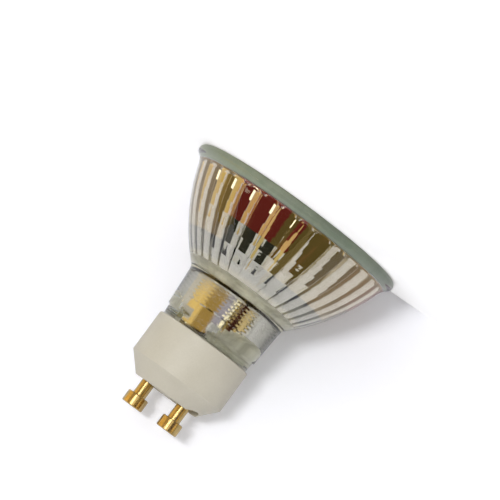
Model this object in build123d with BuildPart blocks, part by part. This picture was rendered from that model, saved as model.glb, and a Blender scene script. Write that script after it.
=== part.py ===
"""Mains halogen reflector lamp, 50 mm, with a twist-lock base of two mushroom-head pins.

The lamp stands on its front rim. The origin is the centre of the rim plane, +Z runs along the
lamp's axis towards the pins, and the two pins lie on the X axis. All sizes are in millimetres.
"""

from build123d import *
from math import cos, pi, sin
import os

# Reflector, outside
rim_radius = 25.35
bead_radius = 1.2
bead_turn = 145.0
waist_inset = 1.85
waist_height = 4.0
shoulder_radius = 11.8
shoulder_height = 22.4
shoulder_fillet = 0.8
bowl_bulge = 1.33
neck_length = 11.5
neck_taper = 0.75
stub_inset = 2.15
stub_length = 4.2

# Shallow relief in the foot of the neck, one sector round each pin's side
relief_depth = 0.35
relief_height = 2.4
relief_sector = 140.0

# Reflector, inside
rim_wall = 2.05
ledge_width = 1.0
mouth_band = 0.7
mouth_flute_depth = 0.05
floor_radius = 12.4
floor_cover = 3.2
cavity_bulge = 1.36
flute_count = 32
row_count = 7
flute_depth = 0.54
neck_wall = 2.9
bore_draft = 4.0
bore_lip = 0.8
slot_depth = 5.5
slot_lip = 1.5

# Cover glass and its seal
lens_thickness = 2.0
lens_setback = 0.35
lens_edge = 0.25
seal_width = 0.4
seal_height = 1.6

# Ceramic base
base_overhang = 0.3
base_height = 13.8
base_edge = 0.4
bevel_radial = 3.6
bevel_axial = 4.0
socket_gap = 0.35
socket_clearance = 0.3
chamber_clearance = 0.7
end_wall = 4.0
recess_radius = 3.6
recess_depth = 1.2
pin_hole_clearance = 0.05

# Contact pins
pin_spacing = 10.0
pin_shank_radius = 1.5
pin_reach = 3.3
pin_head_radius = 2.5
pin_head_height = 2.7
pin_head_edge = 0.15
pin_collar_radius = 2.2
pin_collar_thickness = 0.6
pin_rivet_radius = 2.3
pin_rivet_thickness = 0.6
pin_bore_setback = 1.0

# Quartz capsule, which sits with its pinch in the slot of the neck
capsule_radius = 4.6
capsule_wall = 1.0
capsule_length = 13.8
capsule_shoulder_length = 2.2
tip_radius = 0.9
pinch_width = 10.6
pinch_thickness = 3.6
pinch_edge = 0.8
pinch_length = 11.4
pinch_overlap = 1.2
pinch_setback = 0.9

# Filament, inner wires and foils
filament_radius = 0.6
filament_cover = 4.0
filament_setback = 2.2
inner_wire_radius = 0.3
inner_wire_leg = 1.2
inner_wire_bend = 0.8
wire_spacing = 4.8
foil_width = 2.2
foil_thickness = 0.1
foil_length = 5.0
foil_cover = 3.6

# Outer leads and their sleeves
lead_radius = 0.4
lead_straight = 5.3
lead_bend_length = 3.4
lead_bend_radius = 2.0
sleeve_wall = 0.35

# Cement in the slot of the neck and in the socket of the base
cement_gap = 1.2
cement_setback = 0.6

# Radii that follow from the rim inwards and from the shoulder down the neck
waist_radius = rim_radius - waist_inset
seat_radius = rim_radius - rim_wall
lens_radius = seat_radius - seal_width
mouth_radius = seat_radius - ledge_width
neck_foot_radius = shoulder_radius - neck_taper
bore_radius = shoulder_radius - neck_wall
stub_radius = neck_foot_radius - stub_inset
socket_radius = stub_radius + socket_gap
base_radius = neck_foot_radius + base_overhang
chamber_radius = pin_spacing / 2 + pin_rivet_radius + chamber_clearance
slot_length = pinch_width + 2 * cement_gap
slot_width = pinch_thickness + 2 * cement_gap

# Heights above the rim plane
seat_depth = lens_thickness + lens_setback
mouth_height = seat_depth + mouth_band
floor_height = shoulder_height - floor_cover
seam_height = shoulder_height + neck_length
stub_end_height = seam_height + stub_length
socket_end_height = stub_end_height + socket_clearance
bore_end_height = seam_height - slot_depth
cement_start_height = bore_end_height + slot_lip
base_end_height = seam_height + base_height
end_wall_height = base_end_height - end_wall
rivet_height = end_wall_height - pin_rivet_thickness
recess_floor_height = base_end_height - recess_depth
head_height = base_end_height + pin_reach
pin_end_height = head_height + pin_head_height
pinch_end_height = seam_height - pinch_setback
pinch_start_height = pinch_end_height - pinch_length
foil_end_height = pinch_end_height - foil_cover
foil_start_height = foil_end_height - foil_length
capsule_shoulder_height = pinch_start_height - pinch_overlap
capsule_top_height = capsule_shoulder_height - capsule_length
filament_end_height = capsule_shoulder_height - filament_setback
filament_top_height = capsule_top_height + filament_cover
lead_end_height = head_height - pin_bore_setback
lead_bend_start_height = pinch_end_height + lead_straight
lead_bend_end_height = lead_bend_start_height + lead_bend_length
sides = {"left": -1, "right": 1}


def bulged(start, end, bulge):
    """The middle point of an arc from start to end whose bulge points away from the lamp's axis."""
    chord = Vector(*end) - Vector(*start)
    outward = Vector(chord.Y, -chord.X).normalized()
    return (Vector(*start) + Vector(*end)) / 2 + outward * bulge


def half_plane(angle):
    """The plane through the lamp's axis at this angle, with its own x running outwards and y along +Z."""
    direction = Vector(1, 0, 0).rotate(Axis.Z, angle)
    return Plane(origin=(0, 0, 0), x_dir=direction, z_dir=direction.cross(Vector(0, 0, 1)))


def side_plane(x):
    """The plane of the pins, with its own origin on the pin's axis."""
    return Plane(origin=(x, 0, 0), x_dir=(1, 0, 0), z_dir=(0, -1, 0))


def upright_axis(x):
    """The line along +Z that passes through this place on the X axis."""
    return Axis((x, 0, 0), (0, 0, 1))


def flute_arcs(radius, depth):
    """Three points for each inward arc of the cavity's outline; the arcs meet at outward edges."""
    for flute in range(flute_count):
        angles = [2 * pi * (flute + share) / flute_count for share in (-0.5, 0, 0.5)]
        radii = [radius, radius - depth, radius]
        yield [(r * cos(a), r * sin(a)) for r, a in zip(radii, angles)]


# Reflector: pressed in one piece, a solid of revolution with a fluted cavity
with BuildPart() as reflector:
    with BuildSketch(Plane.XZ):
        with BuildLine():
            waist = (waist_radius, waist_height)
            shoulder = (shoulder_radius, shoulder_height)
            bead = CenterArc((rim_radius - bead_radius, bead_radius), bead_radius, -90, bead_turn)
            TangentArc(bead @ 1, waist, tangent=bead % 1)
            ThreePointArc(waist, bulged(waist, shoulder, bowl_bulge), shoulder)
            Polyline(
                shoulder,
                (neck_foot_radius, seam_height),
                (stub_radius, seam_height),
                (stub_radius, stub_end_height),
                (0, stub_end_height),
                (0, 0),
                bead @ 0,
            )
        make_face()
    revolve(axis=Axis.Z)
    shoulder_edge = reflector.edges().filter_by_position(
        Axis.Z, shoulder_height - 0.01, shoulder_height + 0.01
    )
    fillet(shoulder_edge, shoulder_fillet)

    # Seat of the cover glass
    with BuildSketch():
        Circle(seat_radius)
    extrude(amount=seat_depth, mode=Mode.SUBTRACT)

    # Fluted rows of equal height: straight along the wall inside each row, with a new slope in the next
    sections = [(seat_depth, mouth_radius, mouth_flute_depth)]
    for row in range(row_count + 1):
        share = row / row_count
        height = mouth_height + (floor_height - mouth_height) * share
        chord_radius = mouth_radius + (floor_radius - mouth_radius) * share
        radius = chord_radius + 4 * cavity_bulge * share * (1 - share)
        sections.append((height, radius, flute_depth * radius / mouth_radius))
    for height, radius, depth in sections:
        with BuildSketch(Plane.XY.offset(height)):
            with BuildLine():
                for arc in flute_arcs(radius, depth):
                    ThreePointArc(*arc)
            make_face()
    loft(ruled=True, mode=Mode.SUBTRACT)

    # Round bore of the neck, then the slot that holds the pinch of the capsule
    with BuildSketch(Plane.XY.offset(floor_height)):
        Circle(bore_radius)
    extrude(amount=bore_end_height - floor_height, taper=bore_draft, mode=Mode.SUBTRACT)
    bore_mouth = reflector.edges().filter_by(GeomType.CIRCLE).filter_by_position(
        Axis.Z, floor_height - 0.01, floor_height + 0.01
    )
    fillet(bore_mouth.sort_by(SortBy.RADIUS)[-1], bore_lip)
    with BuildSketch(Plane.XY.offset(bore_end_height)):
        SlotOverall(slot_length, slot_width, rotation=90)
    extrude(amount=stub_end_height - bore_end_height, mode=Mode.SUBTRACT)
    bore_end_edges = reflector.edges().filter_by_position(
        Axis.Z, bore_end_height - 0.01, bore_end_height + 0.01
    )
    fillet(bore_end_edges.sort_by(SortBy.LENGTH)[:-1], slot_lip)

    # Relief sectors at the foot of the neck
    relief_width = neck_taper + relief_depth
    relief_corner = (neck_foot_radius - relief_depth, seam_height - relief_height)
    for middle in (0, 180):
        with BuildSketch(half_plane(middle - relief_sector / 2)):
            with Locations(relief_corner):
                Rectangle(relief_width, relief_height, align=(Align.MIN, Align.MIN))
        revolve(axis=Axis.Z, revolution_arc=relief_sector, mode=Mode.SUBTRACT)

# Cover glass, flat, seated on the ledge inside the rim
with BuildPart() as front_lens:
    with BuildSketch(Plane.XY.offset(seat_depth - lens_thickness)):
        Circle(lens_radius)
    extrude(amount=lens_thickness)
    chamfer(front_lens.edges(), lens_edge)

# Sealant between the edge of the glass and the wall of its seat
with BuildPart() as lens_seal:
    with BuildSketch(Plane.XY.offset(seat_depth - seal_height)):
        Circle(seat_radius)
        Circle(lens_radius, mode=Mode.SUBTRACT)
    extrude(amount=seal_height - lens_edge)

# Ceramic base: a cup with a bevelled end, and a hole and a recess for each pin
with BuildPart() as ceramic_base:
    with BuildSketch(Plane.XZ):
        with BuildLine():
            Polyline(
                (0, end_wall_height),
                (chamber_radius, end_wall_height),
                (chamber_radius, socket_end_height),
                (socket_radius, socket_end_height),
                (socket_radius, seam_height),
                (base_radius, seam_height),
                (base_radius, base_end_height - bevel_axial),
                (base_radius - bevel_radial, base_end_height),
                (0, base_end_height),
                close=True,
            )
        make_face()
    revolve(axis=Axis.Z)
    seam_edges = ceramic_base.edges().filter_by_position(
        Axis.Z, seam_height - 0.01, seam_height + 0.01
    )
    fillet(seam_edges.sort_by(SortBy.RADIUS)[-1], base_edge)
    with Locations(*[(side * pin_spacing / 2, 0, base_end_height) for side in sides.values()]):
        CounterBoreHole(
            radius=pin_shank_radius + pin_hole_clearance,
            counter_bore_radius=recess_radius,
            counter_bore_depth=recess_depth,
            depth=end_wall,
        )

# Cement between the stub of the glass and the socket of the base
with BuildPart() as base_cement:
    with BuildSketch(Plane.XY.offset(seam_height + cement_setback)):
        Circle(socket_radius)
        Circle(stub_radius, mode=Mode.SUBTRACT)
    extrude(amount=stub_length - cement_setback)

# Quartz capsule: a domed tube, closed by a flat pinch with the foils inside
dome_height = capsule_top_height + capsule_radius
inner_radius = capsule_radius - capsule_wall

with BuildPart() as capsule:
    for radius, shoulder_wall, mode in (
        (capsule_radius, 0, Mode.ADD),
        (inner_radius, capsule_wall, Mode.SUBTRACT),
    ):
        with BuildSketch(Plane.XZ):
            with BuildLine():
                CenterArc((0, dome_height), radius, -90, 90)
                Polyline(
                    (radius, dome_height),
                    (radius, capsule_shoulder_height - shoulder_wall),
                    (pinch_thickness / 2, capsule_shoulder_height + capsule_shoulder_length - shoulder_wall),
                    (0, capsule_shoulder_height + capsule_shoulder_length - shoulder_wall),
                    (0, dome_height - radius),
                )
            make_face()
        revolve(axis=Axis.Z, mode=mode)
    with Locations((0, 0, capsule_top_height)):
        Sphere(tip_radius)
    with BuildSketch(Plane.XY.offset(pinch_start_height)):
        RectangleRounded(pinch_thickness, pinch_width, pinch_edge)
    extrude(amount=pinch_end_height - pinch_start_height)
    for side in sides.values():
        y = side * wire_spacing / 2
        with BuildSketch(Plane.XY.offset(foil_start_height)):
            with Locations((0, y)):
                Circle(inner_wire_radius)
        extrude(amount=capsule_shoulder_height - capsule_wall - foil_start_height, mode=Mode.SUBTRACT)
        with BuildSketch(Plane.XY.offset(foil_start_height)):
            with Locations((0, y)):
                Rectangle(foil_thickness, foil_width)
        extrude(amount=foil_length, mode=Mode.SUBTRACT)
        with BuildSketch(Plane.XY.offset(foil_end_height)):
            with Locations((0, y)):
                Circle(lead_radius)
        extrude(amount=pinch_end_height - foil_end_height, mode=Mode.SUBTRACT)

# Filament, drawn as the outer form of its coil
with BuildPart() as filament:
    with BuildSketch(Plane.XY.offset(filament_top_height)):
        Circle(filament_radius)
    extrude(amount=filament_end_height - filament_top_height)


def inner_wire(y, turn_height, filament_end):
    """A wire from the foil at y that turns across to the axis and back to one end of the filament."""
    with BuildPart() as wire:
        with BuildLine() as route:
            FilletPolyline(
                (0, y, foil_start_height),
                (0, y, turn_height),
                (0, 0, turn_height),
                (0, 0, filament_end),
                radius=inner_wire_bend,
            )
        with BuildSketch(Plane(origin=route.line @ 0, z_dir=route.line % 0)):
            Circle(inner_wire_radius)
        sweep()
    return wire.part


wire_y = wire_spacing / 2
return_wire = inner_wire(-wire_y, filament_top_height - inner_wire_leg, filament_top_height)
short_wire = inner_wire(wire_y, filament_end_height + inner_wire_leg, filament_end_height)

# Cement round the pinch in the slot of the neck
with BuildPart() as neck_cement:
    with BuildSketch(Plane.XY.offset(cement_start_height)):
        SlotOverall(slot_length, slot_width, rotation=90)
        RectangleRounded(pinch_thickness, pinch_width, pinch_edge, mode=Mode.SUBTRACT)
    extrude(amount=pinch_end_height - cement_setback - cement_start_height)


def foil(side):
    """The thin foil in the pinch that carries the current past the seal."""
    with BuildPart() as strip:
        with BuildSketch(Plane.XY.offset(foil_start_height)):
            with Locations((0, side * wire_spacing / 2)):
                Rectangle(foil_thickness, foil_width)
        extrude(amount=foil_length)
    return strip.part


def along_lead(side, start_height, end_height, outer_radius, inner_radius=0):
    """A round wire or tube along the lead, which bends outwards from the pinch to its pin."""
    near = side * wire_spacing / 2
    far = side * pin_spacing / 2
    with BuildPart() as run:
        with BuildLine() as route:
            FilletPolyline(
                (0, near, start_height),
                (0, near, lead_bend_start_height),
                (far, 0, lead_bend_end_height),
                (far, 0, end_height),
                radius=lead_bend_radius,
            )
        with BuildSketch(Plane(origin=route.line @ 0, z_dir=route.line % 0)):
            Circle(outer_radius)
            if inner_radius:
                Circle(inner_radius, mode=Mode.SUBTRACT)
        sweep()
    return run.part


def contact_pin(side):
    """A turned pin: riveted end, collar in the recess, shank and mushroom head, hollow for its lead."""
    x = side * pin_spacing / 2
    with BuildPart() as pin:
        with BuildSketch(side_plane(x)):
            with BuildLine():
                Polyline(
                    (0, rivet_height),
                    (pin_rivet_radius, rivet_height),
                    (pin_rivet_radius, end_wall_height),
                    (pin_shank_radius, end_wall_height),
                    (pin_shank_radius, recess_floor_height),
                    (pin_collar_radius, recess_floor_height),
                    (pin_collar_radius, recess_floor_height + pin_collar_thickness),
                    (pin_shank_radius, recess_floor_height + pin_collar_thickness),
                    (pin_shank_radius, head_height),
                    (pin_head_radius, head_height),
                    (pin_head_radius, pin_end_height),
                    (0, pin_end_height),
                    close=True,
                )
            make_face()
        revolve(axis=upright_axis(x))
        head_edges = pin.edges().filter_by_position(Axis.Z, head_height - 0.01, pin_end_height + 0.01)
        chamfer(head_edges.filter_by(GeomType.CIRCLE).group_by(SortBy.RADIUS)[-1], pin_head_edge)
        with BuildSketch(Plane.XY.offset(rivet_height)):
            with Locations((x, 0)):
                Circle(lead_radius)
        extrude(amount=lead_end_height - rivet_height, mode=Mode.SUBTRACT)
    return pin.part


nodes = {
    "reflector": reflector.part,
    "front_lens": front_lens.part,
    "lens_seal": lens_seal.part,
    "ceramic_base": ceramic_base.part,
    "base_cement": base_cement.part,
    "neck_cement": neck_cement.part,
    "capsule": capsule.part,
    "filament": filament.part,
    "return_wire": return_wire,
    "short_wire": short_wire,
}
for name, side in sides.items():
    nodes["foil_" + name] = foil(side)
    nodes["outer_lead_" + name] = along_lead(side, foil_end_height, lead_end_height, lead_radius)
    nodes["lead_sleeve_" + name] = along_lead(
        side, pinch_end_height, rivet_height, lead_radius + sleeve_wall, lead_radius
    )
    nodes["contact_pin_" + name] = contact_pin(side)

os.makedirs("parts", exist_ok=True)
for name, part in nodes.items():
    part.label = name
    export_step(part, "parts/" + name + ".step")
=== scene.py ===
# %% [markdown]
# A halogen reflector lamp stands on its front rim. Its pressed glass bowl is mirrored on the
# inside, so from outside the mirror is seen through clear glass. This script dresses the packed
# model: it loads the frame, sets the camera and the stage, and then makes each piece and finish.

# %% Load the frame
from math import cos, pi, radians, sin

import bpy
import numpy as np
from mathutils import Matrix, Vector


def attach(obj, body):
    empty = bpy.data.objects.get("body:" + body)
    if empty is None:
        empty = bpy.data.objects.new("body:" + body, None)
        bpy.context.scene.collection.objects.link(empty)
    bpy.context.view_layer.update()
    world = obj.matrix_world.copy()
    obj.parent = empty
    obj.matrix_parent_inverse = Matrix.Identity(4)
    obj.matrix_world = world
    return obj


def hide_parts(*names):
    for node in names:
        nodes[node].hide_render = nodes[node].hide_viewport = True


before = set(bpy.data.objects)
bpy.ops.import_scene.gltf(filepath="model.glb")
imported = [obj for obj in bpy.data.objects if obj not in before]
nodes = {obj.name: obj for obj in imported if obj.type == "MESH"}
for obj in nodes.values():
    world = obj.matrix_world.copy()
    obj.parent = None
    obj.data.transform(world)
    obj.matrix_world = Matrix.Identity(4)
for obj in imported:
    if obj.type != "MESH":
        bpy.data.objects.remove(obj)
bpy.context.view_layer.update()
scene = bpy.context.scene
scene.view_settings.view_transform = "Standard"
mm = 0.001
print("nodes:", sorted(nodes))

# %% [markdown]
# The photograph looks across the lamp's axis, a few degrees from the side of the pins, and the
# lamp lies aslant in the picture. The camera's axes follow from its azimuth about the lamp, its
# elevation, and the slant of the lamp in the picture.

# %% Camera
camera_azimuth = radians(-27.4)
camera_elevation = radians(4.4)
camera_distance = 700 * mm
axis_slant = radians(36.4)
view_width = 105.7 * mm
aim_across = -3.8 * mm
aim_height = 12.4 * mm

to_camera = Vector((
    sin(camera_azimuth) * cos(camera_elevation),
    -cos(camera_azimuth) * cos(camera_elevation),
    sin(camera_elevation),
))
across = Vector((-cos(camera_azimuth), -sin(camera_azimuth), 0))
towards_pins = to_camera.cross(across)
towards_pins = towards_pins if towards_pins.z > 0 else -towards_pins
camera_right = across * cos(axis_slant) - towards_pins * sin(axis_slant)
camera_up = to_camera.cross(camera_right)
aim = across * aim_across + Vector((0, 0, aim_height))

camera_data = bpy.data.cameras.new("camera")
camera_data.lens = camera_data.sensor_width * camera_distance / view_width
camera_data.clip_start = 10 * mm
camera = bpy.data.objects.new("camera", camera_data)
scene.collection.objects.link(camera)
axes = Matrix((camera_right, camera_up, to_camera)).transposed().to_4x4()
camera.matrix_world = Matrix.Translation(aim + to_camera * camera_distance) @ axes
scene.camera = camera
print("camera at", [round(c, 4) for c in camera.matrix_world.translation])

# %% [markdown]
# A surface here is a grid of points: one direction runs along a closed profile, the other around
# the axis. The helper puts such a grid into a mesh that closes both ways, gives each face its
# material, and marks whole rings as sharp where the pressed glass has an edge.

# %% Grid to mesh
def grid_piece(name, grid, materials, surface, sharp_rows, flat_surfaces):
    """A mesh whose vertex (row, column) is grid[row, column]; rows and columns both close around.

    Face (row, column) takes materials[surface[row, column]], and the faces turn outwards by the sign
    of the enclosed volume. Edges along sharp_rows are sharp; faces of flat_surfaces aren't smooth.
    """
    rows, columns = grid.shape[:2]
    index = np.arange(rows * columns).reshape(rows, columns)
    below = np.roll(index, -1, axis=0)
    quads = np.stack([index, below, np.roll(below, -1, axis=1), np.roll(index, -1, axis=1)], axis=-1)
    faces = quads.reshape(-1, 4)
    points = grid.reshape(-1, 3)
    corners = points[faces]
    half_a = np.einsum("ij,ij->i", corners[:, 0], np.cross(corners[:, 1], corners[:, 2])).sum()
    half_b = np.einsum("ij,ij->i", corners[:, 0], np.cross(corners[:, 2], corners[:, 3])).sum()
    if half_a + half_b < 0:
        faces = faces[:, ::-1]
    face_surfaces = surface.reshape(-1)
    mesh = bpy.data.meshes.new(name)
    mesh.from_pydata(points.tolist(), [], faces.tolist())
    for material in materials:
        mesh.materials.append(material)
    mesh.polygons.foreach_set("material_index", face_surfaces.astype(np.int32))
    mesh.polygons.foreach_set("use_smooth", ~np.isin(face_surfaces, flat_surfaces))
    ends = np.zeros(len(mesh.edges) * 2, np.int32)
    mesh.edges.foreach_get("vertices", ends)
    edge_rows = ends.reshape(-1, 2) // columns
    is_sharp = (edge_rows[:, 0] == edge_rows[:, 1]) & np.isin(edge_rows[:, 0], list(sharp_rows))
    mesh.attributes.new("sharp_edge", "BOOLEAN", "EDGE").data.foreach_set("value", is_sharp)
    mesh.update()
    piece = bpy.data.objects.new(name, mesh)
    scene.collection.objects.link(piece)
    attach(piece, "root")
    print(name, "faces", len(mesh.polygons), "sharp edges", int(is_sharp.sum()))
    return piece


def arc_points(start, end, bulge, steps):
    """Points of the circular arc from start to end, whose middle stands off the chord by bulge.

    The off side is to the right of the way, which is away from the axis on the way up.
    """
    start, end = np.array(start, float), np.array(end, float)
    chord = end - start
    length = np.hypot(*chord)
    along = chord / length
    off = np.array([along[1], -along[0]])
    half_angle = 2 * np.arctan(2 * bulge / length)
    radius = length / (2 * np.sin(half_angle))
    share = np.linspace(-1, 1, steps + 1)[:, None]
    swing = radius * (np.cos(share * half_angle) - np.cos(half_angle))
    return (start + end) / 2 + along * radius * np.sin(share * half_angle) + off * swing


# %% [markdown]
# Real glass, ceramic and metal are never one flat colour. Two shared groups give them life: one
# mixes two close tones in soft clouds with fine grain, the other draws fine streaks along an axis.

# %% Shared effects
def new_group(name, inputs, outputs):
    """A shader node group with these named sockets; returns the group and its two end nodes."""
    group = bpy.data.node_groups.new(name, "ShaderNodeTree")
    for kind, names in (("INPUT", inputs), ("OUTPUT", outputs)):
        for socket, (socket_type, value) in names.items():
            made = group.interface.new_socket(socket, in_out=kind, socket_type=socket_type)
            if value is not None:
                made.default_value = value
    return group, group.nodes.new("NodeGroupInput"), group.nodes.new("NodeGroupOutput")


def noise_in(tree, scale, detail, roughness, vector):
    """A noise texture node in this tree, on this vector."""
    node = tree.nodes.new("ShaderNodeTexNoise")
    node.inputs["Detail"].default_value = detail
    node.inputs["Roughness"].default_value = roughness
    if isinstance(scale, float):
        node.inputs["Scale"].default_value = scale
    else:
        tree.links.new(scale, node.inputs["Scale"])
    tree.links.new(vector, node.inputs["Vector"])
    return node


def spread_in(tree, value):
    """A map range node in this tree that spreads the middle of a noise over its whole output."""
    node = tree.nodes.new("ShaderNodeMapRange")
    node.inputs["From Min"].default_value = 0.35
    node.inputs["From Max"].default_value = 0.65
    tree.links.new(value, node.inputs["Value"])
    return node


def mix_in(tree, factor, tone_a, tone_b, blend_type="MIX"):
    """A colour mix in this tree of the colours from two sockets; the factor is a number or a socket."""
    node = tree.nodes.new("ShaderNodeMix")
    node.data_type = "RGBA"
    node.blend_type = blend_type
    if isinstance(factor, float):
        node.inputs["Factor"].default_value = factor
    else:
        tree.links.new(factor, node.inputs["Factor"])
    tree.links.new(tone_a, node.inputs["A"])
    tree.links.new(tone_b, node.inputs["B"])
    return node.outputs["Result"]


def math_in(tree, operation, *values):
    """A math node in this tree; each value is a number or the socket that feeds it."""
    node = tree.nodes.new("ShaderNodeMath")
    node.operation = operation
    for socket, value in zip(node.inputs, values):
        if isinstance(value, (int, float)):
            socket.default_value = value
        else:
            tree.links.new(value, socket)
    return node.outputs[0]


def ramp_in(tree, value, stops):
    """A colour ramp in this tree on this value, from stops of (position, colour)."""
    node = tree.nodes.new("ShaderNodeValToRGB")
    while len(node.color_ramp.elements) < len(stops):
        node.color_ramp.elements.new(0.5)
    for element, (position, colour) in zip(node.color_ramp.elements, stops):
        element.position = position
        element.color = (*colour, 1)
    tree.links.new(value, node.inputs["Fac"])
    return node.outputs["Color"]


tones, tones_in, tones_out = new_group(
    "cloudy_tones",
    {
        "Tone A": ("NodeSocketColor", (1, 1, 1, 1)),
        "Tone B": ("NodeSocketColor", (0.8, 0.8, 0.8, 1)),
        "Cloud Scale": ("NodeSocketFloat", 150.0),
        "Grain Scale": ("NodeSocketFloat", 2500.0),
        "Grain": ("NodeSocketFloat", 0.3),
    },
    {"Color": ("NodeSocketColor", None), "Height": ("NodeSocketFloat", None)},
)
place = tones.nodes.new("ShaderNodeTexCoord")
clouds = noise_in(tones, tones_in.outputs["Cloud Scale"], 3.0, 0.55, place.outputs["Object"])
grain = noise_in(tones, tones_in.outputs["Grain Scale"], 2.0, 0.6, place.outputs["Object"])
blend = tones.nodes.new("ShaderNodeMix")
blend.data_type = "FLOAT"
tones.links.new(tones_in.outputs["Grain"], blend.inputs["Factor"])
tones.links.new(clouds.outputs["Fac"], blend.inputs["A"])
tones.links.new(grain.outputs["Fac"], blend.inputs["B"])
spread = spread_in(tones, blend.outputs["Result"])
tint = mix_in(tones, spread.outputs["Result"], tones_in.outputs["Tone A"], tones_in.outputs["Tone B"])
tones.links.new(tint, tones_out.inputs["Color"])
tones.links.new(grain.outputs["Fac"], tones_out.inputs["Height"])
print("group", tones.name, [s.name for s in tones.interface.items_tree])

streaks, streaks_in, streaks_out = new_group(
    "drawn_streaks",
    {
        "Stretch": ("NodeSocketVector", (300, 300, 9000)),
        "Low": ("NodeSocketFloat", 0.2),
        "High": ("NodeSocketFloat", 0.4),
    },
    {"Value": ("NodeSocketFloat", None), "Height": ("NodeSocketFloat", None)},
)
streak_place = streaks.nodes.new("ShaderNodeTexCoord")
stretched = streaks.nodes.new("ShaderNodeVectorMath")
stretched.operation = "MULTIPLY"
streaks.links.new(streak_place.outputs["Object"], stretched.inputs[0])
streaks.links.new(streaks_in.outputs["Stretch"], stretched.inputs[1])
streak_noise = noise_in(streaks, 1.0, 3.0, 0.6, stretched.outputs["Vector"])
streak_range = spread_in(streaks, streak_noise.outputs["Fac"])
streaks.links.new(streaks_in.outputs["Low"], streak_range.inputs["To Min"])
streaks.links.new(streaks_in.outputs["High"], streak_range.inputs["To Max"])
streaks.links.new(streak_range.outputs["Result"], streaks_out.inputs["Value"])
streaks.links.new(streak_noise.outputs["Fac"], streaks_out.inputs["Height"])
print("group", streaks.name, [s.name for s in streaks.interface.items_tree])


def finish(name, tone_a, tone_b, roughness, clouds_per_m=150.0, grain_per_m=2500.0, grain=0.3,
           bump=0.1, bump_depth=0.05 * mm, metallic=0.0, **plain):
    """A material: cloudy tones into the colour, their grain into a bump, plain values on the shader."""
    material = bpy.data.materials.new(name)
    material.use_nodes = True
    tree = material.node_tree
    shader = tree.nodes["Principled BSDF"]
    group = tree.nodes.new("ShaderNodeGroup")
    group.node_tree = tones
    group.inputs["Tone A"].default_value = (*tone_a, 1)
    group.inputs["Tone B"].default_value = (*tone_b, 1)
    group.inputs["Cloud Scale"].default_value = clouds_per_m
    group.inputs["Grain Scale"].default_value = grain_per_m
    group.inputs["Grain"].default_value = grain
    tree.links.new(group.outputs["Color"], shader.inputs["Base Color"])
    relief = tree.nodes.new("ShaderNodeBump")
    relief.inputs["Strength"].default_value = bump
    relief.inputs["Distance"].default_value = bump_depth
    tree.links.new(group.outputs["Height"], relief.inputs["Height"])
    tree.links.new(relief.outputs["Normal"], shader.inputs["Normal"])
    shader.inputs["Roughness"].default_value = roughness
    shader.inputs["Metallic"].default_value = metallic
    for socket, value in plain.items():
        shader.inputs[socket.replace("_", " ")].default_value = value
    return material


def streak(material, stretch, low, high):
    """Put drawn streaks into a material's roughness, finest along the axis with the largest stretch."""
    group = material.node_tree.nodes.new("ShaderNodeGroup")
    group.node_tree = streaks
    group.inputs["Stretch"].default_value = stretch
    group.inputs["Low"].default_value = low
    group.inputs["High"].default_value = high
    shader = material.node_tree.nodes["Principled BSDF"]
    material.node_tree.links.new(group.outputs["Value"], shader.inputs["Roughness"])


# %% [markdown]
# The bowl is one pressed piece of soda glass. Its tint only shows where light has a long way
# through it, at the rim and in the foot of the neck, so the colour sits in the volume and not on
# the surface. The mirror is a bright film on the inner wall, met from inside the glass. The bore
# of the neck has the same film with more grain. The mouth of the bore and the sides of the slot
# have no film: they are pale, and a weak glow stands for the light that the glass leads to them.

# %% Glass and mirror
clear_glass = finish("pressed_glass", (1, 1, 1), (0.97, 0.98, 0.96), 0.01, clouds_per_m=260.0,
                     grain_per_m=420.0, grain=0.6, bump=0.35, bump_depth=0.06 * mm,
                     Transmission_Weight=1.0, IOR=1.5)
absorption = clear_glass.node_tree.nodes.new("ShaderNodeVolumeAbsorption")
absorption.inputs["Color"].default_value = (0.58, 0.72, 0.38, 1)
absorption.inputs["Density"].default_value = 18.0
clear_glass.node_tree.links.new(
    absorption.outputs["Volume"], clear_glass.node_tree.nodes["Material Output"].inputs["Volume"]
)
mirror_film = finish("mirror_film", (0.49, 0.47, 0.42), (0.44, 0.42, 0.37), 0.03, clouds_per_m=180.0,
                     grain_per_m=900.0, grain=0.35, bump=0.25, bump_depth=0.03 * mm, metallic=1.0)
bore_film = finish("bore_film", (0.49, 0.47, 0.42), (0.45, 0.43, 0.38), 0.04, clouds_per_m=300.0,
                   grain_per_m=3000.0, grain=0.5, bump=0.5, bump_depth=0.03 * mm, metallic=1.0)
bare_wall = finish("bare_wall", (0.90, 0.87, 0.74), (0.45, 0.42, 0.28), 0.4, clouds_per_m=330.0,
                   grain_per_m=900.0, grain=0.2, bump=0.2,
                   Emission_Color=(0.9, 0.87, 0.7, 1), Emission_Strength=0.10)
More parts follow.
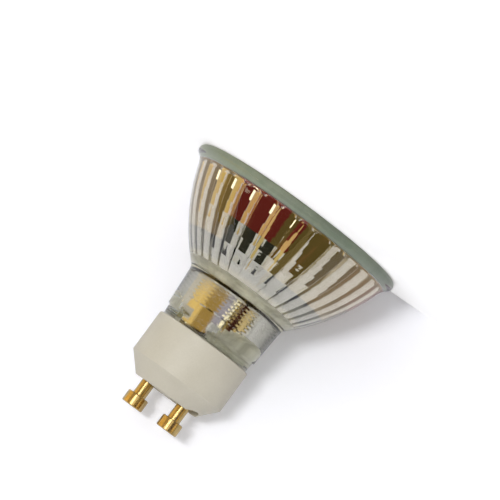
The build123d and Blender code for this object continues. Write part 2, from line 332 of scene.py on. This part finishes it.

# %% [markdown]
# The mirror film is given a painted glow: a weak emission that stands in for coloured reflections,
# deep red, olive or dark gold. It only shows where the mirror has something dark to reflect. A ramp
# round the axis carries the three hues, noise makes them wander, and above one height a second ramp
# takes the red down to a green black. The last ramp is a dim painted gold glow at the end of the
# last row.

# %% Painted glow of the film
film_turns = 3.0
film_start = -0.2194
ramp_height = 40
hue_change_height = 9.97
painted_red_glow = (0.098, 0.012, 0.008)
painted_olive_glow = (0.085, 0.058, 0.014)
painted_gold_glow = (0.10, 0.06, 0.015)
painted_green_black_glow = (0.018, 0.018, 0.011)
film, film_in, film_out = new_group(
    "film_painted_glow",
    {"Turns": ("NodeSocketFloat", film_turns), "Start": ("NodeSocketFloat", film_start)},
    {"Color": ("NodeSocketColor", None)},
)
film_place = film.nodes.new("ShaderNodeTexCoord").outputs["Object"]
film_axes = film.nodes.new("ShaderNodeSeparateXYZ")
film.links.new(film_place, film_axes.inputs[0])
film_waver = noise_in(film, 700.0, 2.0, 0.6, film_place).outputs["Fac"]
film_angle = math_in(film, "ARCTAN2", film_axes.outputs["Y"], film_axes.outputs["X"])
film_turn = math_in(film, "MULTIPLY_ADD", film_angle, -0.5 / pi, film_in.outputs["Start"])
film_share = math_in(film, "FRACT", math_in(film, "MULTIPLY", film_turn, film_in.outputs["Turns"]))
film_wavered = math_in(film, "MULTIPLY_ADD", film_waver, 0.03, film_share)
painted_glow_low = ramp_in(film, film_wavered, [
    (0.015, painted_gold_glow), (0.04, painted_red_glow), (0.30, painted_red_glow), (0.308, painted_olive_glow), (0.355, painted_olive_glow),
    (0.361, painted_red_glow), (0.388, painted_red_glow), (0.394, painted_olive_glow), (0.66, painted_olive_glow), (0.70, painted_gold_glow),
])
painted_glow_high = ramp_in(film, film_wavered, [
    (0.015, painted_gold_glow), (0.04, painted_green_black_glow), (0.33, painted_green_black_glow),
    (0.345, painted_olive_glow), (0.66, painted_olive_glow), (0.70, painted_gold_glow),
])
film_height = math_in(film, "MULTIPLY", film_axes.outputs["Z"], 1 / (ramp_height * mm))
film_above = math_in(film, "GREATER_THAN", film_height, hue_change_height / ramp_height)
painted_glow_hue = mix_in(film, film_above, painted_glow_low, painted_glow_high)
painted_glow_height_fade = ramp_in(film, film_height, [(0.07, (1, 1, 1)), (0.365, (0.9, 0.9, 0.9)), (0.37, (0, 0, 0))])
painted_foot_glow = ramp_in(film, film_height, [
    (0.45, (0, 0, 0)), (0.47, (0.07, 0.055, 0.02)), (0.505, (0.06, 0.05, 0.02)), (0.525, (0, 0, 0)),
])
painted_glow_faded = mix_in(film, 1.0, painted_glow_hue, painted_glow_height_fade, "MULTIPLY")
painted_glow_sum = mix_in(film, 1.0, painted_glow_faded, painted_foot_glow, "ADD")
film.links.new(painted_glow_sum, film_out.inputs["Color"])
film_node = mirror_film.node_tree.nodes.new("ShaderNodeGroup")
film_node.node_tree = film
film_shader = mirror_film.node_tree.nodes["Principled BSDF"]
mirror_film.node_tree.links.new(film_node.outputs["Color"], film_shader.inputs["Emission Color"])
# Painted glow: through this emission the mirror film shines a little, though it is no lamp.
film_shader.inputs["Emission Strength"].default_value = 1.0
print("film hues repeat", film_turns, "times round the axis")

# %% [markdown]
# The bowl's section is one closed loop: up the outside from the rim, over the stub in the base,
# down through the slot and the bore, out over the fluted rows, and back across the ledge to the
# rim. The outside starts with the round bead, which runs in a hollow curve into the bowl.

# %% Bowl: outside
flute_count = 32
steps_per_flute = 12
columns = flute_count * steps_per_flute
column = np.arange(columns)
turn = 2 * pi * (column / columns - 0.5 / flute_count)

bead_centre = (24.15, 1.2)
bead_radius = 1.2
bead_angles = np.radians(np.linspace(-90, 55, 15))
bead = np.stack([
    bead_centre[0] + bead_radius * np.cos(bead_angles),
    bead_centre[1] + bead_radius * np.sin(bead_angles),
], axis=1)
waist = (23.5, 4.0)
shoulder = (11.8, 22.4)
shoulder_low = (12.45, 21.72)
shoulder_high = (11.75, 23.1)
neck_foot_radius = 11.05
relief_low = 31.5
relief_high = 33.85
seam_height = 33.92
stub_radius = 8.92
slot_bottom = 38.1
outside = np.concatenate([
    bead,
    arc_points(bead[-1], waist, -0.185, 6)[1:],
    arc_points(waist, shoulder, 1.33, 40)[1:-1],
    arc_points(shoulder_low, shoulder_high, -0.12, 5)[1:],
    np.array([
        (11.3, 29.6), (11.2, 31.45), (11.19, relief_low), (neck_foot_radius, relief_high),
        (neck_foot_radius, seam_height), (stub_radius, seam_height), (stub_radius, slot_bottom),
    ]),
])
print("outside rows", len(outside))


def revolved(profile):
    """Each profile point (radius, height) goes round the axis at the shared column angles."""
    radius, height = profile[:, :1], profile[:, 1:]
    flat = np.ones((1, columns))
    return np.stack([radius * np.cos(turn), radius * np.sin(turn), height * flat], axis=-1)


# %% [markdown]
# Thirty-two flutes run down the cavity, each one an arc, and seven rows cross them. A row is
# straight along the section, so each meeting of flute and row is its own small curved mirror. The
# rows stand on a bulged line between the mouth and the edge of the floor.

# %% Bowl: fluted rows
row_count = 7
cavity_bulge = 1.36
flute_depth = 0.38
mouth_flute_depth = 0.05
ledge_height = 2.35
mouth = (22.3, 3.05)
floor_edge = (12.4, 19.2)
row_share = np.linspace(0, 1, row_count + 1)
wall_heights = mouth[1] + (floor_edge[1] - mouth[1]) * row_share
wall_radii = mouth[0] + (floor_edge[0] - mouth[0]) * row_share
wall_radii += 4 * cavity_bulge * row_share * (1 - row_share)
row_heights = np.append(ledge_height, wall_heights)
row_radii = np.append(mouth[0], wall_radii)
flute_depths = np.append(mouth_flute_depth, flute_depth * wall_radii / mouth[0])


def fluted(radii, heights, depths):
    """Rings of arcs: each arc starts and ends at radius, and its middle stands inwards by depth.

    Along the flute's direction a point is at c - s * (1 - t * t), where c is the chord's distance
    from the axis, s the rise of the arc over its chord and t the share of the way to either end.
    """
    half_chord = radii * sin(pi / flute_count)
    chord = radii * cos(pi / flute_count)
    rise = chord - (radii - depths)
    share = np.sin(pi / 2 * (2 * (column % steps_per_flute) / steps_per_flute - 1))[None, :]
    middle = 2 * pi * (column // steps_per_flute) / flute_count
    outwards = chord[:, None] - rise[:, None] * (1 - share ** 2)
    sideways = half_chord[:, None] * share
    x = outwards * np.cos(middle) - sideways * np.sin(middle)
    y = outwards * np.sin(middle) + sideways * np.cos(middle)
    return np.stack([x, y, np.repeat(heights[:, None], columns, axis=1)], axis=-1)


cavity = fluted(row_radii, row_heights, flute_depths)
print("cavity rows", len(cavity), "heights", row_heights.round(2))

# %% [markdown]
# The bore of the neck was pressed by a turned plunger. Its fine bands show in the mirror as a
# jagged edge on every reflection, because each band is a little out of round in its own way. The
# bore ends in a slot for the lamp's capsule, through a funnel whose flat sides draw in. Its two
# ends simply carry the wall of the bore on, so a mirror that is seen there runs down to the base.

# %% Bowl: neck
bore_radius = 8.9
bore_end_radius = 8.26
bore_lip = 0.8
bore_end = 28.0
band_height = 0.42
band_edge = 0.004
band_wobble = 0.024
band_lobes = 15
band_phase = 2.9
slot_half_width = 3.0
stub_slot_half_length = 6.5
lip_angles = np.radians(np.linspace(90, 0, 6))
lip = np.stack([
    bore_radius + bore_lip - bore_lip * np.cos(lip_angles),
    floor_edge[1] + bore_lip - bore_lip * np.sin(lip_angles),
], axis=1)
narrowing_rate = (bore_radius - bore_end_radius) / (bore_end - floor_edge[1])


def banded_bore(first_height, last_height):
    """Two rings for each turned band: radius R(z) + w * sin(n * turn + phase * band).

    R narrows upwards. The two rings keep one shape, so a band is straight, and the next begins
    after a narrow edge.
    """
    band = np.arange(int((last_height - first_height) / band_height))
    starts = first_height + band * band_height
    heights = np.stack([starts + band_edge, starts + band_height - band_edge], axis=1).reshape(-1, 1)
    band = np.repeat(band, 2)[:, None]
    wobble = band_wobble * np.sin(band_lobes * turn[None, :] + band_phase * band)
    radius = bore_radius - narrowing_rate * (heights - floor_edge[1]) + wobble
    return np.stack([radius * np.cos(turn), radius * np.sin(turn), heights + 0 * turn[None, :]], axis=-1)


def slot_ring(half_width, height, half_length):
    """The outline of the slot along Y: each column's ray ends at the flat side or at the round end.

    The flat side is at x = half_width, the end is a circle of radius half_length about the axis.
    """
    radius = np.minimum(half_width / np.maximum(np.abs(np.cos(turn)), 1e-6), half_length)
    return np.stack([radius * np.cos(turn), radius * np.sin(turn), np.full(columns, height)], axis=-1)


bore_rows = np.concatenate([revolved(lip), banded_bore(floor_edge[1] + bore_lip, bore_end)])
funnel = np.array([
    (8.2, 28.05), (7.4, 28.35), (6.6, 28.8), (5.9, 29.35), (5.1, 30.0), (4.4, 30.6), (3.7, 31.2),
    (3.2, 31.9), (slot_half_width, 32.6), (slot_half_width, seam_height),
])
funnel_lengths = bore_radius - narrowing_rate * (funnel[:, 1] - floor_edge[1])
slot = np.stack(
    [slot_ring(w, z, r) for (w, z), r in zip(funnel, funnel_lengths)]
    + [slot_ring(slot_half_width, slot_bottom, stub_slot_half_length)]
)
print("bore rings", len(bore_rows), "slot rings", len(slot))

# %% [markdown]
# A shallow relief runs round the foot of the neck, in one wide sector on the side of each pin. The
# rings are then put together in the order of the section. Which faces are clear, mirrored or bare
# goes by ring, but for the slot: its ends are mirrored and its flat sides are bare, as is the mouth
# of the bore.

# %% Bowl: relief and assembly
outer_rows = revolved(outside)
relief_half_sector = 70.0
relief_depth = 0.35
from_pin = np.abs((np.degrees(turn) + 90) % 180 - 90)
in_relief = from_pin < relief_half_sector
relief_rows = [
    i for i, (r, z) in enumerate(outside) if relief_low <= z <= relief_high and r > stub_radius
]
for row in relief_rows:
    outer_rows[row, in_relief, :2] *= (neck_foot_radius - relief_depth) / neck_foot_radius
seat_radius = 23.28
rim_rows = revolved(np.array([(seat_radius, ledge_height), (seat_radius, 0.0)]))
bowl_grid = np.concatenate([outer_rows, slot[::-1], bore_rows[::-1], cavity[::-1], rim_rows]) * mm
first_slot_row = len(outer_rows)
first_bore_row = first_slot_row + len(slot)
first_cavity_row = first_bore_row + len(bore_rows)

clear, mirrored, bare, mirrored_bore = range(4)
bare_rings = len(lip) + 7
surface = np.repeat(np.concatenate([
    np.full(len(outer_rows), clear),
    np.full(len(slot), bare),
    np.full(len(bore_rows) - bare_rings, mirrored_bore),
    np.full(bare_rings, bare),
    np.full(len(cavity), mirrored),
    np.full(len(rim_rows), clear),
])[:, None], columns, axis=1)
slot_radii = np.hypot(slot[..., 0], slot[..., 1])[::-1]
half_lengths = np.append(stub_slot_half_length, funnel_lengths[::-1])[:, None]
at_slot_end = slot_radii > half_lengths - 0.01
between_ends = at_slot_end & np.roll(at_slot_end, -1, axis=1)
surface[first_slot_row:first_bore_row][between_ends] = mirrored_bore

sharp_rows = set(range(first_cavity_row, first_cavity_row + len(cavity)))
sharp_rows |= set(range(first_bore_row, first_cavity_row - len(lip)))
sharp_rows |= {0, *range(first_slot_row - 3, first_slot_row + 1)}
sharp_rows |= {len(bowl_grid) - 2, len(bowl_grid) - 1}
bowl = grid_piece("glass_bowl", bowl_grid, [clear_glass, mirror_film, bare_wall, bore_film],
                  surface, sharp_rows, flat_surfaces=(bare,))
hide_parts("reflector")

# %% [markdown]
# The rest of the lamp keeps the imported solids, whose shapes are right, and gets its finishes:
# unglazed ceramic, turned brass pins, the flat cover glass, and the small parts inside.

# %% Finishes of the kept solids
ceramic = finish("ivory_ceramic", (0.55, 0.515, 0.42), (0.50, 0.465, 0.375), 0.55, clouds_per_m=120.0,
                 grain_per_m=3200.0, grain=0.35, bump=0.25, bump_depth=0.05 * mm)
brass = finish("turned_brass", (0.56, 0.40, 0.16), (0.34, 0.25, 0.10), 0.22, clouds_per_m=500.0,
               grain_per_m=5000.0, grain=0.4, bump=0.15, bump_depth=0.02 * mm, metallic=1.0)
streak(brass, (400, 400, 12000), 0.10, 0.26)
cover_glass = finish("cover_glass", (1, 1, 1), (0.98, 0.99, 0.98), 0.03, clouds_per_m=200.0,
                     grain_per_m=1500.0, bump=0.2, Transmission_Weight=1.0, IOR=1.5)
quartz = finish("quartz", (1, 1, 1), (0.98, 0.98, 0.98), 0.01, clouds_per_m=400.0,
                Transmission_Weight=1.0, IOR=1.46)
sealant = finish("clear_sealant", (0.40, 0.48, 0.37), (0.33, 0.41, 0.31), 0.5, clouds_per_m=600.0)
cement = finish("ceramic_cement", (0.66, 0.62, 0.54), (0.52, 0.48, 0.41), 0.85, clouds_per_m=700.0,
                bump=0.5)
tungsten = finish("tungsten", (0.30, 0.30, 0.31), (0.20, 0.20, 0.21), 0.35, metallic=1.0)
molybdenum = finish("molybdenum", (0.45, 0.45, 0.46), (0.33, 0.33, 0.35), 0.3, metallic=1.0)
nickel_wire = finish("nickel_wire", (0.55, 0.53, 0.49), (0.42, 0.40, 0.37), 0.3, metallic=1.0)
sleeving = finish("woven_sleeve", (0.72, 0.70, 0.64), (0.58, 0.56, 0.50), 0.7, clouds_per_m=3000.0,
                  bump=0.6)
finishes = {
    "ceramic_base": ceramic, "contact_pin": brass, "front_lens": cover_glass, "lens_seal": sealant,
    "base_cement": cement, "neck_cement": cement, "capsule": quartz, "filament": tungsten,
    "return_wire": molybdenum, "short_wire": molybdenum, "foil": molybdenum,
    "outer_lead": nickel_wire, "lead_sleeve": sleeving,
}
for name, node in nodes.items():
    kind = name.removesuffix("_left").removesuffix("_right")
    if kind in finishes:
        node.data.materials.clear()
        node.data.materials.append(finishes[kind])
print("dressed:", sorted(finishes))

# %% [markdown]
# The stage is a white floor under a white world. The world is a little dimmer where it only lights
# the lamp than where it is seen, in the picture, in a mirror or through glass.

# %% Stage: world and floor
world = bpy.data.worlds.new("studio")
scene.world = world
world.use_nodes = True
world_tree = world.node_tree
backdrop = world_tree.nodes["Background"]
ray = world_tree.nodes.new("ShaderNodeLightPath").outputs
seen = math_in(world_tree, "MAXIMUM", ray["Is Camera Ray"], ray["Is Transmission Ray"])
seen_or_mirrored = math_in(world_tree, "MAXIMUM", seen, ray["Is Glossy Ray"])
strength = world_tree.nodes.new("ShaderNodeMapRange")
strength.inputs["To Min"].default_value = 0.6
strength.inputs["To Max"].default_value = 1.0
world_tree.links.new(seen_or_mirrored, strength.inputs["Value"])
world_tree.links.new(strength.outputs["Result"], backdrop.inputs["Strength"])
backdrop.inputs["Color"].default_value = (1, 1, 1, 1)

corner_signs = ((-1, -1), (1, -1), (1, 1), (-1, 1))


def sheet(name, corners, material):
    """A flat sheet between these four corners, as a new object of the scene."""
    mesh = bpy.data.meshes.new(name)
    mesh.from_pydata(corners, [], [(0, 1, 2, 3)])
    mesh.materials.append(material)
    made = bpy.data.objects.new(name, mesh)
    scene.collection.objects.link(made)
    return made


def lift(material, glow):
    """Let a white sheet glow a little where the camera sees it, which lifts it to a clean white."""
    tree = material.node_tree
    shader = tree.nodes["Principled BSDF"]
    camera_ray = tree.nodes.new("ShaderNodeLightPath").outputs["Is Camera Ray"]
    tree.links.new(math_in(tree, "MULTIPLY", camera_ray, glow), shader.inputs["Emission Strength"])
    shader.inputs["Emission Color"].default_value = (1, 1, 1, 1)


half_floor = 1.5
floor_white = finish("floor_white", (0.92, 0.92, 0.92), (0.90, 0.90, 0.90), 0.6, clouds_per_m=5.0, bump=0.0)
lift(floor_white, 0.36)
floor = sheet("floor", [(i * half_floor, j * half_floor, 0) for i, j in corner_signs], floor_white)
print("floor", 2 * half_floor, "m wide")

# %% [markdown]
# In the photograph the lamp lies on a white table, which touches its rim and its ceramic. Here
# the lamp stands, so the table is a sheet that leans against it from behind and takes its shadow.
# From behind the sheet is clear, so that it hides nothing in the other views.

# %% Stage: leaning table
table_normal = Vector((-0.157, -0.934, -0.321)).normalized()
table_offset = -24.7 * mm
table_across = across - across.dot(table_normal) * table_normal
table_across.normalize()
table_along = table_normal.cross(table_across)
table_centre = table_normal * table_offset
half_table = 1200 * mm
table_white = finish("table_white", (0.90, 0.905, 0.95), (0.895, 0.90, 0.945), 0.7, clouds_per_m=5.0,
                     bump=0.0)
lift(table_white, 0.16)


def clear_behind(tree, front):
    """Show this shader on the front of a sheet only, so that from behind the sheet is clear."""
    sides = tree.nodes.new("ShaderNodeMixShader")
    tree.links.new(tree.nodes.new("ShaderNodeNewGeometry").outputs["Backfacing"], sides.inputs["Fac"])
    tree.links.new(front, sides.inputs[1])
    tree.links.new(tree.nodes.new("ShaderNodeBsdfTransparent").outputs["BSDF"], sides.inputs[2])
    tree.links.new(sides.outputs["Shader"], tree.nodes["Material Output"].inputs["Surface"])


clear_behind(table_white.node_tree, table_white.node_tree.nodes["Principled BSDF"].outputs["BSDF"])
table_corners = [
    table_centre + table_across * i * half_table + table_along * j * half_table for i, j in corner_signs
]
table = sheet("table", table_corners, table_white)
print("table faces the camera:", table_normal.dot(to_camera) > 0)

# %% [markdown]
# One large soft light stands behind the camera, a little to its left and above it, so the shadow
# of the lamp falls to the lower right and stays pale.

# %% Stage: soft key light
key_data = bpy.data.lights.new("key", "AREA")
key_data.shape = "DISK"
key_data.size = 0.4
key_data.energy = 20.0
key = bpy.data.objects.new("key", key_data)
scene.collection.objects.link(key)
key_left = 0.22
key_up = 0.27
key_direction = (to_camera - camera_right * key_left + camera_up * key_up).normalized()
key_distance = 1.5
key_axes = key_direction.to_track_quat("Z", "Y").to_matrix().to_4x4()
key.matrix_world = Matrix.Translation(aim + key_direction * key_distance) @ key_axes
print("key light at", [round(c, 2) for c in key.matrix_world.translation])

# %% [markdown]
# A mirror shows the room around it, and the room makes half of its looks. So plain coloured cards
# stand around the lamp as painted reflections: they are seen only in reflections and through glass,
# and don't light it.
# Each card is a patch of a sphere of one metre about the lamp, given by its azimuth from the
# camera, positive to the lamp's right, and its elevation towards the pins.

# %% Stage: cards
level_to_camera = Vector((to_camera.x, to_camera.y, 0)).normalized()
card_radius = 1.0
card_step = 0.01


def plain_light(name, colour, one_sided=False):
    """A material that shines in one plain colour, on both sides or on the front alone."""
    material = bpy.data.materials.new(name)
    material.use_nodes = True
    tree = material.node_tree
    glow = tree.nodes.new("ShaderNodeEmission")
    glow.inputs["Color"].default_value = (*colour, 1)
    if one_sided:
        clear_behind(tree, glow.outputs["Emission"])
    else:
        tree.links.new(glow.outputs["Emission"], tree.nodes["Material Output"].inputs["Surface"])
    return material


def stand_by(made):
    """Make a card or a flag seen only in mirrors and through glass, not by the camera, diffuse light or
    shadows.
    """
    made.visible_camera = False
    made.visible_diffuse = False
    made.visible_shadow = False


def card(name, azimuths, elevations, colour, radius):
    """A patch of the sphere between two azimuths and two elevations, in degrees.

    Its points are radius * (cos(e) * level(a) + sin(e) * up), level(a) turning by a from the camera.
    """
    azimuth = np.radians(np.linspace(*azimuths, 25))[:, None]
    elevation = np.radians(np.linspace(*elevations, 13))[None, :]
    towards, side = np.array(level_to_camera), np.array(across)
    level = np.cos(azimuth)[..., None] * towards + np.sin(azimuth)[..., None] * side
    points = radius * (
        np.cos(elevation)[..., None] * level + np.sin(elevation)[..., None] * np.array((0, 0, 1))
    )
    rows, cols = points.shape[:2]
    index = np.arange(rows * cols).reshape(rows, cols)
    faces = np.stack([index[:-1, :-1], index[1:, :-1], index[1:, 1:], index[:-1, 1:]], axis=-1)
    mesh = bpy.data.meshes.new(name)
    mesh.from_pydata(points.reshape(-1, 3).tolist(), [], faces.reshape(-1, 4).tolist())
    mesh.materials.append(plain_light(name, colour))
    made = bpy.data.objects.new(name, mesh)
    scene.collection.objects.link(made)
    stand_by(made)


# Each card paints a reflection in the mirrors; the brightest two paint the highlights and glints.
cards = {
    "gold_wing": ((-155, -104), (0, 27), (0.60, 0.47, 0.19)),
    "amber_wing": ((-106, -70), (8, 44), (0.95, 0.68, 0.26)),
    "dark_shade": ((-68, 60), (12, 57), (0.006, 0.005, 0.004)),
    "dark_top_shade": ((-74, 8), (56, 68), (0.006, 0.005, 0.004)),
    "silver_front": ((-20, 3), (-16, 12), (0.62, 0.58, 0.72)),
    "dark_front": ((11, 20), (-16, 12), (0.05, 0.04, 0.04)),
    "russet_front": ((20, 42), (-16, 12), (0.12, 0.035, 0.02)),
    "gold_front": ((42, 66), (-16, 12), (1.1, 0.85, 0.42)),
    "olive_front": ((66, 78), (-16, 12), (0.06, 0.06, 0.03)),
    "bronze_front": ((-62, -20), (-16, 12), (0.66, 0.42, 0.12)),
    "brass_front": ((-109, -62), (-16, 12), (1.5, 1.05, 0.38)),
    "painted_highlight_card": ((-66, -53), (18, 28), (3.4, 3.1, 2.3)),
    "painted_glint_card": ((3, 11), (-16, 12), (2.4, 2.2, 1.6)),
}
for order, (card_name, values) in enumerate(cards.items()):
    card(card_name, *values, card_radius - card_step * order)
print("cards:", len(cards))

# %% [markdown]
# A card far away shows in every flute and row at the same angle. A sheet close to the lamp shows
# in a few of them only, so three upright sheets stand beside it as painted reflections: a dark one
# and a russet one for the dark cells, and a gold one for the narrow strips between them.

# %% Stage: flags
def flag(name, angles, radii, heights, colour):
    """An upright sheet beside the lamp, between two angles from the camera and two radii, in mm.

    Only its side towards the camera's azimuth shines in the mirrors; from behind it is clear.
    """
    turned = np.radians(angles)[:, None]
    level = np.cos(turned) * np.array(level_to_camera) + np.sin(turned) * np.array(across)
    near, far = np.array(radii)[:, None] * level
    low, high = np.array((0, 0, 1)) * np.array(heights)[:, None]
    corners = np.array([near + low, near + high, far + high, far + low]) * mm
    made = sheet(name, corners.tolist(), plain_light(name, colour, one_sided=True))
    stand_by(made)
    print(name, "faces the camera's side:", made.data.polygons[0].normal.dot(-across) > 0)


flag_radii = (27, 62)
flag("dark_flag", (33, 26), flag_radii, (-2, 20), (0.006, 0.005, 0.004))
flag("russet_flag", (33, 26), flag_radii, (20, 34), (0.08, 0.025, 0.015))
flag("gold_flag", (18, 16), flag_radii, (17, 72), (1.0, 0.75, 0.30))
